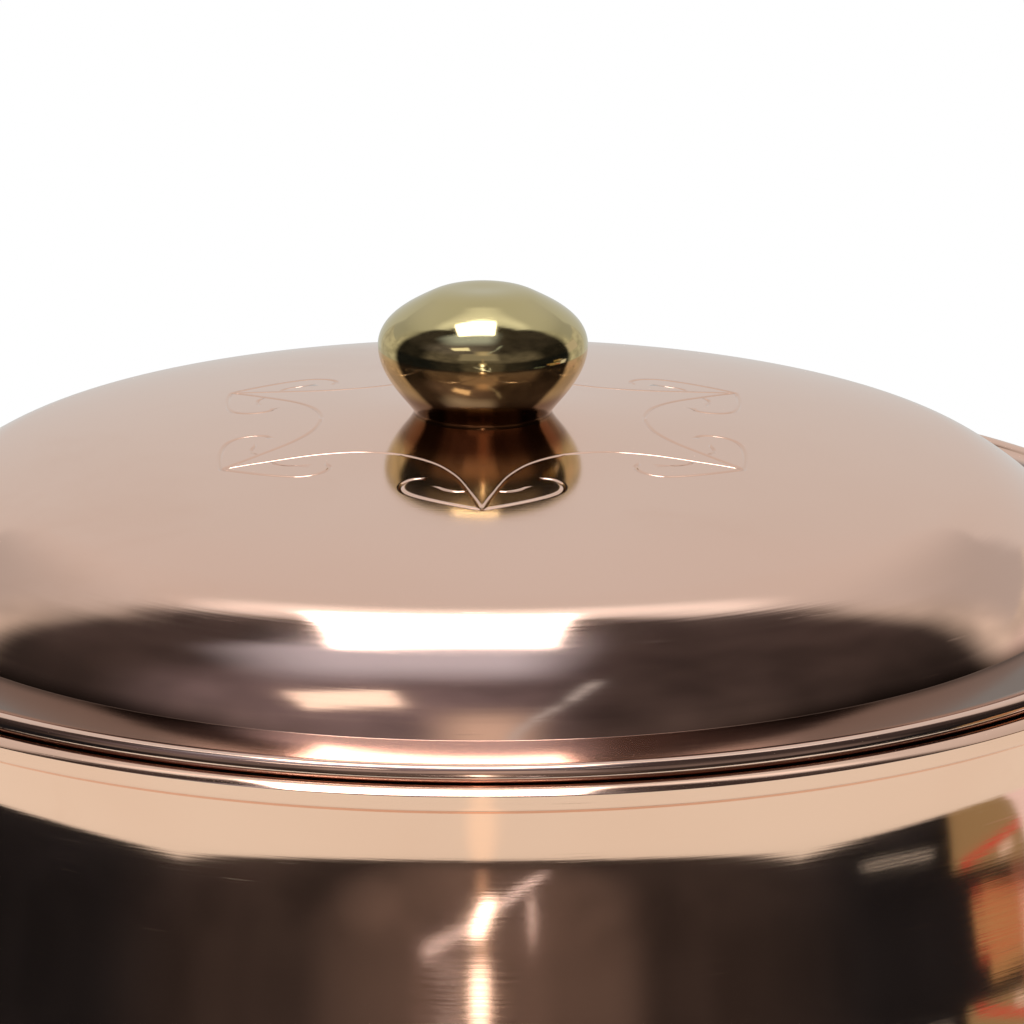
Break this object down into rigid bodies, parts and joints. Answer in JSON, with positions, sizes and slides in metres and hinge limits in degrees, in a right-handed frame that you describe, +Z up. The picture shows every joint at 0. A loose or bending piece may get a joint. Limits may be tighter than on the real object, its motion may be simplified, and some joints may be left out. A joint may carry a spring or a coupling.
{
  "type": "soup pot",
  "caption": "Round copper soup pot with riveted brass side handles and a domed, engraved lid that opens on a rear hinge and has a turned brass knob.",
  "frame": {"origin": "centre of the flat base, on the surface that the pot stands on", "axes": "+Z up; -Y is the front; the handles are on +X and -X; the hinge is on +Y"},
  "size_m": [0.336, 0.2771, 0.2026],
  "materials": {
    "pot_copper": "polished copper",
    "lid_copper": "polished copper, fine turning marks",
    "brass": "cast and polished brass",
    "knob_brass": "turned and polished brass",
    "rivet_copper": "hammered copper",
    "tin": "wiped tin",
    "steel": "bright steel"
  },
  "bodies": {
    "pot": {"pot_shell": "pot_copper", "pot_rim_wire": "steel", "handle_left": "brass", "handle_left_rivet_1": "rivet_copper", "handle_left_rivet_2": "rivet_copper", "handle_left_rivet_3": "rivet_copper", "handle_left_rivet_4": "rivet_copper", "handle_right": "brass", "handle_right_rivet_1": "rivet_copper", "handle_right_rivet_2": "rivet_copper", "handle_right_rivet_3": "rivet_copper", "handle_right_rivet_4": "rivet_copper", "hinge_leaf_pot": "brass", "hinge_pot_rivet_1": "rivet_copper", "hinge_pot_rivet_2": "rivet_copper", "hinge_pot_rivet_3": "rivet_copper", "hinge_pin": "steel"},
    "lid": {"lid_shell": "lid_copper", "lid_rim_wire": "steel", "lid_skirt": "tin", "hinge_leaf_lid": "brass", "hinge_lid_rivet_1": "rivet_copper", "hinge_lid_rivet_2": "rivet_copper", "hinge_lid_rivet_3": "rivet_copper", "knob": "knob_brass", "knob_screw": "steel", "knob_washer": "steel"}
  },
  "joints": [
    {"name": "lid_hinge", "type": "hinge", "parent": "pot", "child": "lid", "pos_m": [0, 0.1375, 0.14953], "axis": [-1, 0, 0], "range_deg": [0, 100]}
  ]
}
